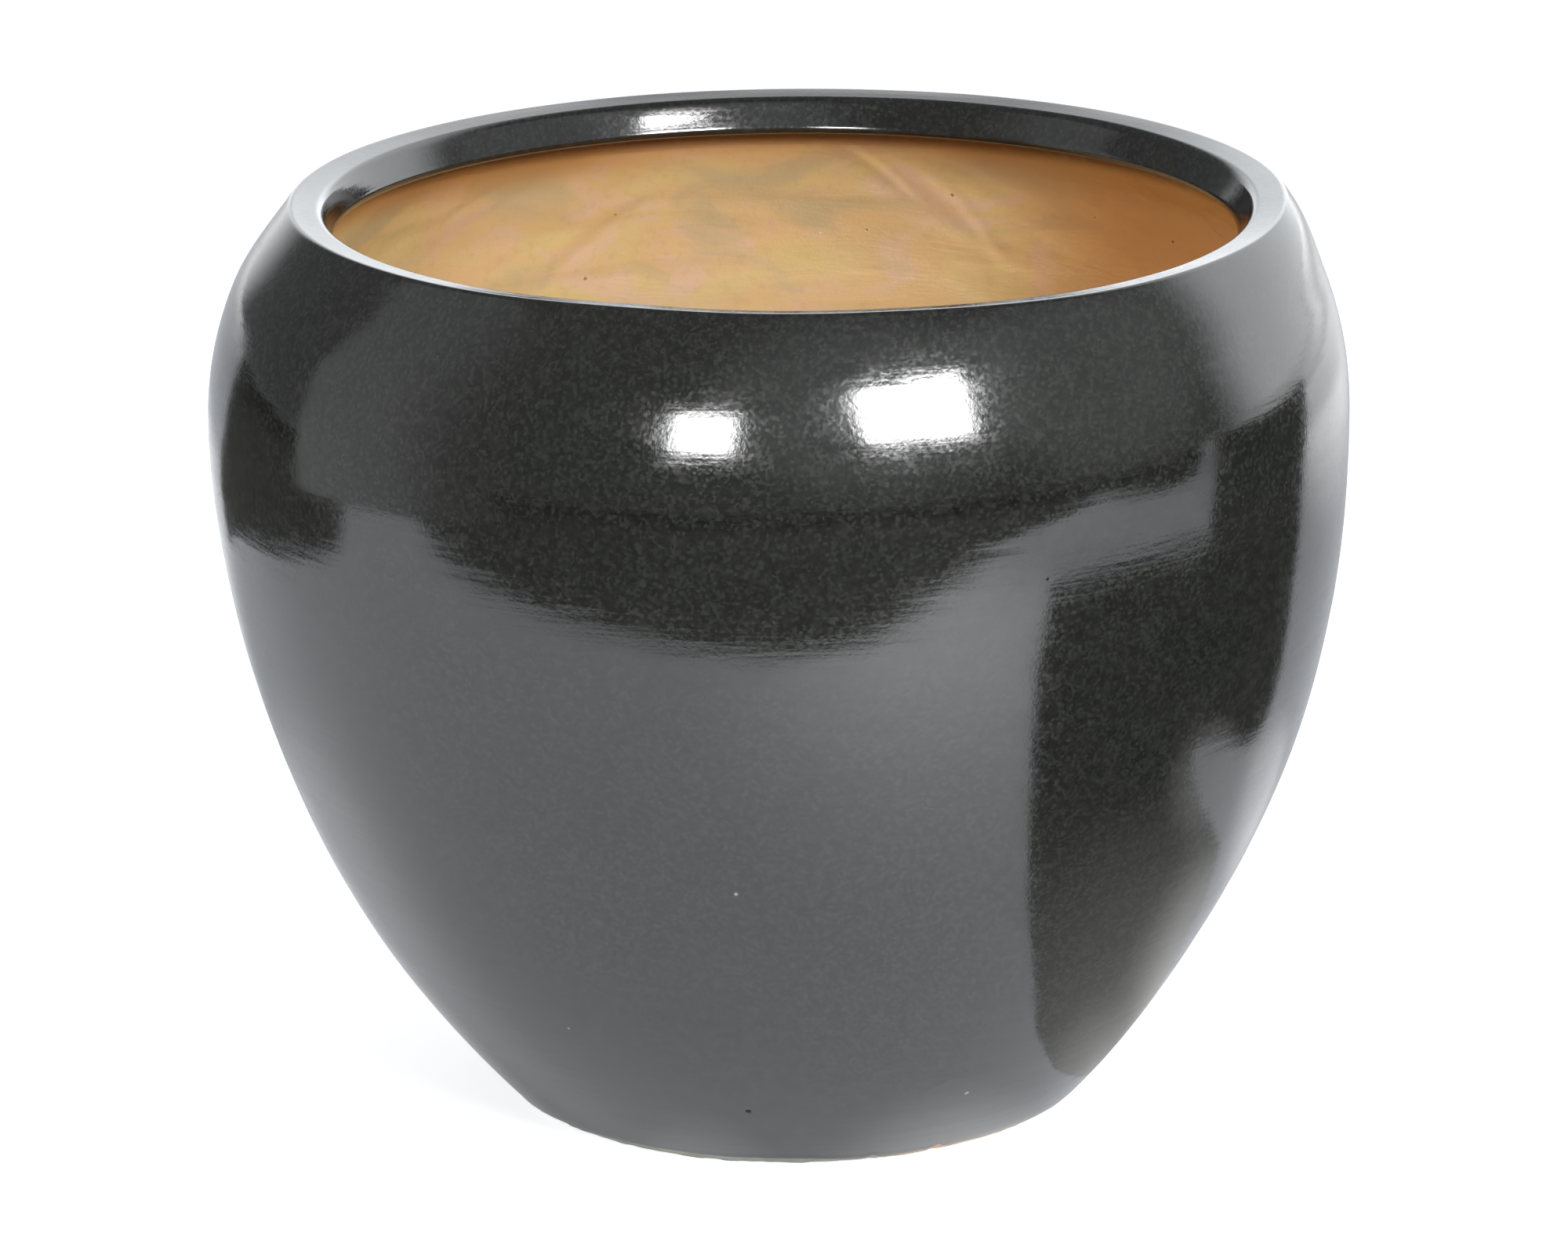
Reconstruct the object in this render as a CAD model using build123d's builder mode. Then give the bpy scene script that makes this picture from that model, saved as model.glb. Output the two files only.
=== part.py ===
"""Glazed clay planter pot, built up the way a potter builds it.

The floor is a slab on a low foot ring. The round body is a lower and an upper wall section, and a heavy
coil on top of them forms a flat ledge with a short lip inside the mouth. Each section is luted to the next
with a seam of slip, and one black coat of glaze runs from just above the foot, over the ledge, down the lip.

Frame: millimetres, +Z up along the pot's axis, origin at the centre of the foot on the ground.
"""

from math import sqrt
import os

from build123d import *

# Outside of the finished pot, over the glaze
HEIGHT = 322.0
BELLY_R = 200.0
BELLY_Z = 246.0
FOOT_R = 102.3
RIM_R = 173.5

# Ledge round the mouth and the lip that hangs from its inner edge, over the glaze
LEDGE_WIDTH = 11.5
LEDGE_DROP = 1.5
LIP_R = 157.0
LIP_DEPTH = 14.2
LIP_UNDERSIDE_DROP = 1.0

# Clay, slip and glaze
WALL = 12.0
WALL_AT_FLOOR = 16.0
FLOOR_Z = 19.0
FOOT_HEIGHT = 5.0
FOOT_WIDTH = 17.0
DRAIN_R = 15.0
SLIP = 0.8
GLAZE = 0.8
BARE_FOOT = 1.2
GLAZE_UNDER_LIP = 2.0

# Where each bevelled seam meets the outside, and how far it climbs through the thickness of one wall
BASE_SEAM_Z = 7.5
BASE_SEAM_RISE = 7.0
BELLY_SEAM_Z = 172.0
BELLY_SEAM_RISE = 9.0
RIM_SEAM_Z = 295.0
RIM_SEAM_RISE = 4.0

# Rounding of the clay's edges
RIM_FILLET = 0.8
LEDGE_FILLET = 2.2
LIP_FILLET = 2.0
UNDERCUT_FILLET = 2.5
FLOOR_FILLET = 30.0
DRAIN_FILLET = 2.0
RECESS_FILLET = 1.5
FOOT_FILLET = 1.0

FAR = 2 * BELLY_R


def arc_radius(end_r, height):
    """Radius of the arc that leaves the belly upright and reaches end_r at a height above or below it."""
    return (height**2 + (BELLY_R - end_r) ** 2) / (2 * (BELLY_R - end_r))


LOWER_ARC_R = arc_radius(FOOT_R, BELLY_Z)
SHOULDER_ARC_R = arc_radius(RIM_R, HEIGHT - BELLY_Z)


def wall_radius(z, inset=GLAZE):
    """Radius at a height on the body's curve, moved inset into the wall. The clay lies one glaze deep."""
    arc = LOWER_ARC_R if z < BELLY_Z else SHOULDER_ARC_R
    return BELLY_R - arc + sqrt((arc - inset) ** 2 - (z - BELLY_Z) ** 2)


def body_curve(low, high, inset):
    """The two arcs of the wall, from a low point to a high one, that meet upright at the belly."""
    belly = (BELLY_R - inset, BELLY_Z)
    TangentArc(belly, low, tangent=(0, -1))
    TangentArc(belly, high, tangent=(0, 1))


def seam_line(z, rise):
    """A level cut outside the wall that climbs at a bevel from the outer face towards the pot's axis."""
    outer = wall_radius(z)
    return (FAR, z), (outer, z), (0, z + rise * outer / WALL)


# The clay as one cross-section, radius by height, from which every section is cut
clay_top = HEIGHT - GLAZE
lip_z = HEIGHT - LIP_DEPTH + GLAZE
foot_edge = (wall_radius(0), 0)
rim_edge = (wall_radius(clay_top), clay_top)
ledge_edge = (RIM_R - LEDGE_WIDTH + GLAZE, clay_top - LEDGE_DROP)
lip_edge = (LIP_R + GLAZE, lip_z)
undercut = (wall_radius(lip_z, WALL + GLAZE), lip_z - LIP_UNDERSIDE_DROP)
floor_edge = (wall_radius(FLOOR_Z) - WALL_AT_FLOOR, FLOOR_Z)
slab_under_z = FOOT_HEIGHT + SLIP
foot_inner_r = wall_radius(0) - FOOT_WIDTH

with BuildSketch(Plane.XZ) as clay:
    with BuildLine():
        body_curve(foot_edge, rim_edge, GLAZE)
        Polyline(rim_edge, ledge_edge, lip_edge, undercut)
        body_curve(floor_edge, undercut, GLAZE + WALL)
        Polyline(floor_edge, (DRAIN_R, FLOOR_Z), (DRAIN_R, slab_under_z), (foot_inner_r, slab_under_z))
        Polyline((foot_inner_r, slab_under_z), (foot_inner_r, 0), foot_edge)
    make_face()
    for point, rounding in (
        (rim_edge, RIM_FILLET),
        (ledge_edge, LEDGE_FILLET),
        (lip_edge, LIP_FILLET),
        (undercut, UNDERCUT_FILLET),
        (floor_edge, FLOOR_FILLET),
        ((DRAIN_R, FLOOR_Z), DRAIN_FILLET),
        ((DRAIN_R, slab_under_z), DRAIN_FILLET),
        ((foot_inner_r, 0), RECESS_FILLET),
        (foot_edge, FOOT_FILLET),
    ):
        fillet(clay.vertices().sort_by_distance(point)[0], rounding)

# The seams, from the ground up: each is a layer of slip between its lower and its upper line
foot_seam = (FOOT_HEIGHT, 0)
base_seam = (BASE_SEAM_Z, BASE_SEAM_RISE)
belly_seam = (BELLY_SEAM_Z, BELLY_SEAM_RISE)
rim_seam = (RIM_SEAM_Z, RIM_SEAM_RISE)


def under(seam):
    """The line where the section below a seam ends."""
    return seam_line(*seam)


def over(seam):
    """The line where the section above a seam begins."""
    return seam_line(seam[0] + SLIP, seam[1])


ground = ((FAR, 0), (0, 0))
sky = ((FAR, FAR), (0, FAR))


def turn_between(lower_line, upper_line):
    """Turn the part of the clay section that lies between two lines into a solid round the pot's axis."""
    with BuildSketch(Plane.XZ) as cut:
        add(clay.sketch)
        with BuildLine():
            Polyline(*lower_line, *reversed(upper_line), close=True)
        make_face(mode=Mode.INTERSECT)
    revolve(cut.sketch, axis=Axis.Z)


# Low ring of bare clay that the pot stands on
with BuildPart() as foot_ring:
    turn_between(ground, under(foot_seam))
foot_ring.part.label = "foot_ring"

with BuildPart() as foot_slip:
    turn_between(under(foot_seam), over(foot_seam))
foot_slip.part.label = "foot_slip"

# Floor of the pot, with a bevelled edge and the drain hole through its middle
with BuildPart() as base_slab:
    turn_between(over(foot_seam), under(base_seam))
base_slab.part.label = "base_slab"

with BuildPart() as base_slip:
    turn_between(under(base_seam), over(base_seam))
base_slip.part.label = "base_slip"

# Flaring lower wall
with BuildPart() as lower_wall:
    turn_between(over(base_seam), under(belly_seam))
lower_wall.part.label = "lower_wall"

with BuildPart() as belly_slip:
    turn_between(under(belly_seam), over(belly_seam))
belly_slip.part.label = "belly_slip"

# Belly and shoulder
with BuildPart() as upper_wall:
    turn_between(over(belly_seam), under(rim_seam))
upper_wall.part.label = "upper_wall"

with BuildPart() as rim_slip:
    turn_between(under(rim_seam), over(rim_seam))
rim_slip.part.label = "rim_slip"

# Heavy coil with the flat ledge on top and the lip inside the mouth
with BuildPart() as rim_ring:
    turn_between(over(rim_seam), sky)
rim_ring.part.label = "rim_ring"

# One coat of glaze over the outside and the ledge, down the lip and round its lower edge. The inside is bare
with BuildPart() as black_glaze:
    with BuildSketch(Plane.XZ) as coat:
        add(clay.sketch)
        offset(amount=GLAZE)
        add(clay.sketch, mode=Mode.SUBTRACT)
        with BuildLine():
            mid_wall = GLAZE + WALL / 2
            above_z, below_z = lip_z + 2 * GLAZE, lip_z - 2 * GLAZE
            end_r = LIP_R + GLAZE + GLAZE_UNDER_LIP
            glaze_start = (wall_radius(BARE_FOOT, mid_wall), BARE_FOOT)
            over_lip = (wall_radius(above_z, mid_wall), above_z)
            body_curve(glaze_start, over_lip, mid_wall)
            Polyline(over_lip, (end_r, above_z), (end_r, below_z), (0, below_z), (0, FAR))
            Polyline((0, FAR), (FAR, FAR), (FAR, BARE_FOOT), glaze_start)
        make_face(mode=Mode.INTERSECT)
    revolve(axis=Axis.Z)
black_glaze.part.label = "black_glaze"

os.makedirs("parts", exist_ok=True)
export_step(foot_ring.part, "parts/foot_ring.step")
export_step(foot_slip.part, "parts/foot_slip.step")
export_step(base_slab.part, "parts/base_slab.step")
export_step(base_slip.part, "parts/base_slip.step")
export_step(lower_wall.part, "parts/lower_wall.step")
export_step(belly_slip.part, "parts/belly_slip.step")
export_step(upper_wall.part, "parts/upper_wall.step")
export_step(rim_slip.part, "parts/rim_slip.step")
export_step(rim_ring.part, "parts/rim_ring.step")
export_step(black_glaze.part, "parts/black_glaze.step")
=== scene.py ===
"""Looks of the glazed clay planter pot.

Every node of the frame is a ring of clay, slip or glaze, so each is replaced by a finely turned ring with the
hand marks, ridges, chips and blemishes of the real surface. Lengths are in metres, in the frame's own axes.
"""

from math import cos, pi, radians, sin

import bpy
import numpy as np
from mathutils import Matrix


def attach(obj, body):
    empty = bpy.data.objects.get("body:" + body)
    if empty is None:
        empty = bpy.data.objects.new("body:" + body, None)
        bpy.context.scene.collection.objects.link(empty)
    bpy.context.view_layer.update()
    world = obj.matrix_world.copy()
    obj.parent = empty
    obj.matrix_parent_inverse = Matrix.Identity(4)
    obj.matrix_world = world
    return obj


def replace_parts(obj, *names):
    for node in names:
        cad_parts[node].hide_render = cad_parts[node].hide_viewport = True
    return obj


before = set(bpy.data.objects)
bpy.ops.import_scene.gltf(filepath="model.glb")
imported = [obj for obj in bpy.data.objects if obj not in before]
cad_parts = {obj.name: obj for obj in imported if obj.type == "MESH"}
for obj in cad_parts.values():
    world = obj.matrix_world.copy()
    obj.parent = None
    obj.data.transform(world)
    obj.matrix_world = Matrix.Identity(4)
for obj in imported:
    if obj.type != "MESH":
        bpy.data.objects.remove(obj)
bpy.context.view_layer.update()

# ---------------------------------------------------------------- sizes, as in the frame

HEIGHT = 0.322
BELLY_R = 0.200
BELLY_Z = 0.246
FOOT_R = 0.1023
RIM_R = 0.1735
LEDGE_WIDTH = 0.0115
LEDGE_DROP = 0.0015
LIP_R = 0.1570
LIP_DEPTH = 0.0142
LIP_UNDERSIDE_DROP = 0.001
WALL = 0.012
WALL_AT_FLOOR = 0.016
FLOOR_Z = 0.019
FOOT_HEIGHT = 0.005
FOOT_WIDTH = 0.017
DRAIN_R = 0.015
SLIP = 0.0008
GLAZE = 0.0008
BARE_FOOT = 0.0012
GLAZE_UNDER_LIP = 0.002

# Seams: height on the outside, and rise through the thickness of one wall
FOOT_SEAM = (FOOT_HEIGHT, 0.0)
BASE_SEAM = (0.0075, 0.007)
BELLY_SEAM = (0.172, 0.009)
RIM_SEAM = (0.295, 0.004)

# Spacing of mesh rows: where nothing shows, on the glazed wall, on the clay inside, on small mouldings and
# across the mating faces of seams
HIDDEN = 0.010
PLAIN = 0.0017
INSIDE = 0.0013
FINE = 0.0004
MATING = 0.004

# Mesh columns round each ring
GLAZE_COLUMNS = 300
WALL_COLUMNS = 720
LOW_WALL_COLUMNS = 560
FLOOR_COLUMNS = 480
FOOT_COLUMNS = 960

# ---------------------------------------------------------------- the clay's outline, radius by height


def arc_radius(end_r, height, belly_r=BELLY_R):
    """Radius of the arc that leaves the belly upright and reaches end_r at a height above or below it."""
    return (height**2 + (belly_r - end_r) ** 2) / (2 * (belly_r - end_r))


LOWER_ARC_R = arc_radius(FOOT_R, BELLY_Z)
SHOULDER_ARC_R = arc_radius(RIM_R, HEIGHT - BELLY_Z)


def outer(z, inset=GLAZE):
    """Radius of the body's outside curve at a height, moved inset into the wall."""
    arc = np.where(z < BELLY_Z, LOWER_ARC_R, SHOULDER_ARC_R)
    return BELLY_R - arc + np.sqrt((arc - inset) ** 2 - (z - BELLY_Z) ** 2)


CLAY_TOP = HEIGHT - GLAZE
LIP_Z = HEIGHT - LIP_DEPTH + GLAZE
SLAB_UNDER_Z = FOOT_HEIGHT + SLIP
FOOT_EDGE = (float(outer(0.0)), 0.0)
RIM_EDGE = (float(outer(CLAY_TOP)), CLAY_TOP)
LEDGE_EDGE = (RIM_R - LEDGE_WIDTH + GLAZE, CLAY_TOP - LEDGE_DROP)
LIP_EDGE = (LIP_R + GLAZE, LIP_Z)
UNDERCUT = (float(outer(LIP_Z, WALL + GLAZE)), LIP_Z - LIP_UNDERSIDE_DROP)
FLOOR_EDGE = (float(outer(FLOOR_Z)) - WALL_AT_FLOOR, FLOOR_Z)
DRAIN_EDGE = (DRAIN_R, FLOOR_Z)
DRAIN_UNDER = (DRAIN_R, SLAB_UNDER_Z)
FOOT_INNER_R = FOOT_EDGE[0] - FOOT_WIDTH
RECESS_CORNER = (FOOT_INNER_R, SLAB_UNDER_Z)
FOOT_INNER_EDGE = (FOOT_INNER_R, 0.0)
INNER_BELLY_R = BELLY_R - GLAZE - WALL
INNER_LOWER_ARC_R = arc_radius(FLOOR_EDGE[0], BELLY_Z - FLOOR_Z, INNER_BELLY_R)
INNER_SHOULDER_ARC_R = arc_radius(UNDERCUT[0], UNDERCUT[1] - BELLY_Z, INNER_BELLY_R)


def inner(z):
    """Radius of the inside curve of the wall at a height."""
    arc = np.where(z < BELLY_Z, INNER_LOWER_ARC_R, INNER_SHOULDER_ARC_R)
    return INNER_BELLY_R - arc + np.sqrt(arc**2 - (z - BELLY_Z) ** 2)


def curve_points(curve, z_from, z_to, count=500):
    """Points on a wall curve between two heights."""
    z = np.linspace(z_from, z_to, count)
    return np.column_stack([curve(z), z])


def joined(*stretches):
    """One outline from stretches of points, without doubled points."""
    points = np.vstack([np.atleast_2d(stretch) for stretch in stretches])
    step = np.linalg.norm(np.diff(points[:, :2], axis=0), axis=1)
    return points[np.concatenate([[True], step > 1e-7])]


def distance_along(points):
    """Distance of each point along an outline from its start."""
    return np.concatenate([[0.0], np.cumsum(np.linalg.norm(np.diff(points[:, :2], axis=0), axis=1))])


def at(points, place):
    """The points of an outline at distances along it."""
    along = distance_along(points)
    return np.column_stack([np.interp(place, along, column) for column in points.T])


def nearest(points, target):
    """Distance along an outline of its point nearest a target."""
    return distance_along(points)[np.argmin(np.hypot(points[:, 0] - target[0], points[:, 1] - target[1]))]


def rounded(points, corner, reach):
    """The outline with one corner eased into a curve that starts and ends at a distance from it."""
    along = distance_along(points)
    middle = nearest(points, corner)
    start, end = at(points, [middle - reach, middle + reach])
    t = np.linspace(0, 1, 16)[:, None]
    ease = (1 - t) ** 2 * start + 2 * t * (1 - t) * np.array(corner) + t**2 * end
    return joined(points[along < middle - reach], ease, points[along > middle + reach])


# Spacing of the points that stand for the clay's outline
OUTLINE_STEP = 0.0001


def clay_outline():
    """The clay's whole outline: up the outside, over the rim, down the inside, under floor and foot."""
    points = joined(
        curve_points(outer, 0.0, CLAY_TOP),
        LEDGE_EDGE,
        LIP_EDGE,
        curve_points(inner, UNDERCUT[1], FLOOR_Z),
        DRAIN_EDGE,
        DRAIN_UNDER,
        RECESS_CORNER,
        FOOT_INNER_EDGE,
        FOOT_EDGE,
    )
    length = distance_along(points)[-1]
    dense = np.linspace(0, length, int(length / OUTLINE_STEP))
    points = at(points, dense)
    for corner, reach in (
        (RIM_EDGE, 0.0006),
        (LEDGE_EDGE, 0.0016),
        (LIP_EDGE, 0.0022),
        (UNDERCUT, 0.0020),
        (FLOOR_EDGE, 0.0136),
        (DRAIN_EDGE, 0.0020),
        (DRAIN_UNDER, 0.0020),
        (FOOT_INNER_EDGE, 0.0015),
    ):
        points = rounded(points, corner, reach)
    run = np.gradient(points, axis=0)
    run /= np.linalg.norm(run, axis=1)[:, None]
    return np.column_stack([points, run[:, 1], -run[:, 0]])


CLAY = clay_outline()
CLAY_LENGTH = distance_along(CLAY)[-1]
MOUTH_PLACE = nearest(CLAY, LIP_EDGE)


def seam_places(seam, lift=0.0):
    """Where a bevelled seam leaves the clay: distances along the outline on the outside and on the inside."""
    z, rise = seam[0] + lift, seam[1]
    above = CLAY[:, 1] - (z + (float(outer(z)) - CLAY[:, 0]) * rise / WALL)
    along = distance_along(CLAY)
    crossings = np.flatnonzero(np.diff(np.sign(above)))
    exact = [along[k] + (along[k + 1] - along[k]) * above[k] / (above[k] - above[k + 1]) for k in crossings]
    return exact[0], [place for place in exact if place > MOUTH_PLACE][0]


def shown(start, end, step):
    """A stretch of the clay's surface that shows, so relief moves it: radius, height, normal, 1."""
    places = np.linspace(start, end, max(2, int(round(abs(end - start) / step)) + 1))
    points = at(CLAY, places)
    return np.column_stack([points, np.ones(len(points))])


def covered(start, end, step):
    """The same for a stretch that glaze or clay covers, so it stays true."""
    points = shown(start, end, step)
    points[:, 4] = 0.0
    return points


def across(start, end):
    """Mating face of a seam: a straight run between two places on the clay's outline."""
    first, last = at(CLAY, [start])[0], at(CLAY, [end])[0]
    count = max(2, int(np.linalg.norm(last[:2] - first[:2]) / MATING))
    share = np.linspace(0, 1, count + 2)[1:-1, None]
    inside = first + share * (last - first)
    return np.column_stack([inside, np.zeros(len(inside))])


# ---------------------------------------------------------------- noise and relief


def lattice_noise(points, seed):
    """Smooth noise from -1 to 1 at points whose coordinates count in cells."""
    table = np.random.default_rng(seed).uniform(-1, 1, 4096)
    cell = np.floor(points).astype(np.int64)
    part = points - cell
    part = part * part * part * (part * (part * 6 - 15) + 10)
    total = np.zeros(points.shape[:-1])
    for corner in np.ndindex(2, 2, 2):
        near = cell + np.array(corner)
        key = (near[..., 0] * 73856093) ^ (near[..., 1] * 19349663) ^ (near[..., 2] * 83492791)
        weight = np.prod(np.where(np.array(corner) == 1, part, 1 - part), axis=-1)
        total += weight * table[key % 4096]
    return total


def unevenness(theta, r, z, around, upright, seed, octaves=1):
    """Noise on the pot's surface with lumps of a given length around the pot and height up it."""
    total, strength = 0.0, 1.0
    for octave in range(octaves):
        lumps = np.stack([r * np.cos(theta) / around, r * np.sin(theta) / around, z / upright], axis=-1)
        total = total + strength * lattice_noise(lumps * 2.0**octave + 17.3 * octave, seed + octave)
        strength *= 0.5
    return total


def hump(distance, width):
    """A smooth bump of height 1 that fades out over a width to both sides."""
    return np.exp(-((distance / width) ** 2))


def step_up(value, low, high):
    """Smooth rise from 0 to 1 as a value goes from low to high."""
    t = np.clip((value - low) / (high - low), 0, 1)
    return t * t * (3 - 2 * t)


def turn_from_back(theta):
    """Angle round the pot in radians from its far side, positive towards +X."""
    return (pi / 2 - theta + pi) % (2 * pi) - pi


def crease(theta, r, z, start, end, bow, width, depth):
    """A furrow with a raised lower bank, between two places inside the wall, each (degrees, height)."""
    turn = turn_from_back(theta) * r
    a, b = (np.array([radians(place[0]) * INNER_BELLY_R, place[1]]) for place in (start, end))
    run = b - a
    length = np.hypot(*run)
    u, v = run / length, np.array([-run[1], run[0]]) / length
    along = ((turn - a[0]) * u[0] + (z - a[1]) * u[1]) / length
    off = (turn - a[0]) * v[0] + (z - a[1]) * v[1] - bow * np.sin(pi * np.clip(along, 0, 1))
    fade = step_up(along, -0.15, 0.2) * (1 - step_up(along, 0.75, 1.15))
    return depth * fade * (hump(off + 1.4 * width, 2.2 * width) - 0.8 * hump(off, width))


# Folds inside the wall: start and end, each degrees right of the far side and height, then bow, width, depth
FOLDS = (
    ((6.5, 0.304), (16.0, 0.280), 0.002, 0.0013, 0.00060),
    ((16.5, 0.292), (27.0, 0.255), 0.003, 0.0026, 0.00055),
    ((-13.0, 0.283), (-28.0, 0.249), -0.002, 0.0030, 0.00055),
    ((-34.0, 0.291), (-45.0, 0.277), -0.001, 0.0025, 0.00045),
)


def hand_marks(theta, r, z):
    """Marks of the hands inside the wall: soft dents, level wipes, slanting strokes and a few folds."""
    turn = turn_from_back(theta) * r
    marks = 0.0009 * unevenness(theta, r, z, 0.060, 0.030, seed=3)
    marks = marks + 0.00040 * unevenness(theta, r, z, 0.110, 0.014, seed=8, octaves=2)
    slant = z + 0.45 * np.abs(turn)
    strokes = 0.00030 * unevenness(theta, r, slant, 0.055, 0.010, seed=55, octaves=2)
    marks = marks + strokes * step_up(np.abs(turn), 0.02, 0.08)
    for fold in FOLDS:
        marks = marks + crease(theta, r, z, *fold)
    return marks * (1 - step_up(z, UNDERCUT[1] - 0.007, UNDERCUT[1]))


def rough_floor(theta, r, z):
    """Turning marks and grit on the inside of the floor and on the underside."""
    rings = 0.00018 * np.sin(r / 0.0042 * 2 * pi + 0.8 * np.sin(theta))
    return rings + 0.0004 * unevenness(theta, r, z, 0.035, 0.035, seed=13, octaves=3)


def clay_relief(theta, r, z):
    """Relief of all bare clay: hand marks on the wall, passing into turning marks on the floor."""
    low = 1 - step_up(z, FLOOR_Z + 0.004, FLOOR_Z + 0.030)
    return low * rough_floor(theta, r, z) + (1 - low) * hand_marks(theta, r, z)


def glaze_relief(theta, r, z):
    """A slow wave and faint turning ridges on the glazed outside, and a wavy ledge and lip."""
    wave = 0.00026 * unevenness(theta, r, z, 0.100, 0.070, seed=21, octaves=2)
    ridges = 0.000014 * unevenness(theta, r, z, 0.070, 0.0065, seed=34, octaves=2)
    mouth = step_up(RIM_R - r, 0.0, 0.006) * step_up(z, 0.30, 0.305)
    wobble = 0.00011 * unevenness(theta, r, z, 0.045, 0.0060, seed=90)
    return wave + ridges + mouth * wobble


# How much of a chip's size is relief, since the glaze's edge gives way by the whole of it
CHIP_DEPTH = 0.12

# Chips in the edge of the foot: degrees right of the front, size, half-width in degrees
FOOT_CHIPS = (
    (14.2, 0.0024, 0.8),
    (27.5, 0.0026, 0.9),
    (-62.0, 0.0014, 0.9),
    (118.0, 0.0020, 1.1),
    (-150.0, 0.0015, 0.8),
)


def degrees_from_front(theta):
    """Angle round the pot in degrees from its near side, positive towards +X."""
    return np.degrees((theta + pi / 2 + pi) % (2 * pi) - pi)


def foot_relief(theta, r, z):
    """Worn and gritty foot: the bottom edge is nicked, and nothing sinks below the ground."""
    grit = 0.00025 * unevenness(theta, r, z, 0.006, 0.006, seed=71, octaves=2) - 0.00025
    azimuth = degrees_from_front(theta)
    chips = sum(size * hump(azimuth - place, width) for place, size, width in FOOT_CHIPS)
    return grit * step_up(0.004 - z, 0.0, 0.003) - CHIP_DEPTH * chips * step_up(0.003 - z, 0.0, 0.002)


def glaze_edge(theta):
    """How far the glaze's lower edge lies above its mean line, round the foot."""
    azimuth = degrees_from_front(theta)
    ragged = np.stack([np.cos(theta), np.sin(theta), 0 * theta], axis=-1)
    line = 0.00030 * lattice_noise(ragged * 9, 5) + 0.00025 * lattice_noise(ragged * 30, 6)
    bare = 0.0010 * step_up(azimuth, 16, 26) * (1 - step_up(azimuth, 52, 64))
    bare = bare + 0.0027 * step_up(azimuth, -75, -40) * (1 - step_up(azimuth, 0, 14))
    chips = sum(size * hump(azimuth - place, width) for place, size, width in FOOT_CHIPS)
    return line + bare + chips


# ---------------------------------------------------------------- building


# Lean of the belly from the rim and of the foot from the belly, and how far the rim sags and rises
LEAN = 0.0024
FOOT_LEAN = 0.0017
RIM_SAG = 0.0017
RIM_RISE = 0.0010

# Faces that meet at more than this angle, in degrees, have a sharp edge
SHARP_ANGLE = 50


def settled(x, y, z):
    """The fired pot's lean, with its belly to the left of the rim, and its rim that sags at the front right."""
    lean = -LEAN * hump(z - 0.245, 0.075) + LEAN * step_up(z, 0.292, 0.318)
    lean = lean + FOOT_LEAN * step_up(-z, -0.07, 0.0)
    azimuth = np.degrees(np.arctan2(x, -y))
    sag = RIM_SAG * step_up(azimuth, 8, 42) * (1 - step_up(azimuth, 66, 100))
    sag = sag - RIM_RISE * hump(azimuth + 20, 15)
    return x + lean, y, z - sag * step_up(z, 0.255, 0.316)


def lathe(name, outline, columns, relief, material, slide=None):
    """Ring-shaped closed mesh swept from an outline of radius, height, normal and share of the relief."""
    theta = np.linspace(0, 2 * pi, columns, endpoint=False)[None, :] + np.zeros((len(outline), 1))
    r0, z0, nr, nz, share = (column[:, None] + np.zeros_like(theta) for column in outline.T)
    push = relief(theta, r0, z0) * share
    r, z = r0 + nr * push, z0 + nz * push
    if slide is not None:
        shift = slide(theta, r0, z0)
        r, z = r - nz * shift, z + nr * shift
    x, y, z = settled(r * np.cos(theta), r * np.sin(theta), np.maximum(z, 0.0))
    points = np.stack([x, y, z], axis=-1).reshape(-1, 3)

    row = np.arange(len(outline))[:, None] * columns
    next_row = np.roll(row, -1, axis=0)
    column = np.arange(columns)[None, :]
    next_column = np.roll(column, -1, axis=1)
    corners = [row + column, row + next_column, next_row + next_column, next_row + column]
    faces = np.stack(corners, axis=-1).reshape(-1, 4)

    mesh = bpy.data.meshes.new(name)
    mesh.from_pydata(points.tolist(), [], faces.tolist())
    mesh.shade_smooth()
    mesh.set_sharp_from_angle(angle=radians(SHARP_ANGLE))
    mesh.materials.append(material)
    piece = bpy.data.objects.new(name, mesh)
    bpy.context.scene.collection.objects.link(piece)
    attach(piece, "root")
    return piece


# Height of the finely meshed edge of the glaze, lengths over which the coat thins out and over which its
# relief fades towards both ends, and reach of the ragged edge above its mean line
GLAZE_EDGE_HEIGHT = 0.006
GLAZE_TAPER = 0.0012
GLAZE_EDGE_FADE = 0.004
RAGGED_REACH = 0.010


def glaze_outline():
    """Outline of the coat: the skin that shows, tapered at both ends, and the face on the clay."""
    start = nearest(CLAY, (float(outer(BARE_FOOT)), BARE_FOOT))
    end = MOUTH_PLACE + GLAZE_UNDER_LIP
    ledge_start = nearest(CLAY, RIM_EDGE) - 0.004
    stretches = [
        shown(start, start + GLAZE_EDGE_HEIGHT, FINE)[:-1],
        shown(start + GLAZE_EDGE_HEIGHT, ledge_start, PLAIN)[:-1],
        shown(ledge_start, end, FINE),
    ]
    skin = np.vstack(stretches)
    depth = distance_along(skin)
    edge = np.minimum(depth, depth[-1] - depth)
    thick = GLAZE * np.sqrt(np.clip(edge / GLAZE_TAPER, 0.02, 1))
    skin[:, :2] += skin[:, 2:4] * thick[:, None]
    skin[:, 4] = np.clip(edge / GLAZE_EDGE_FADE, 0, 1)
    return np.vstack([skin, covered(end, start, HIDDEN)])


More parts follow.
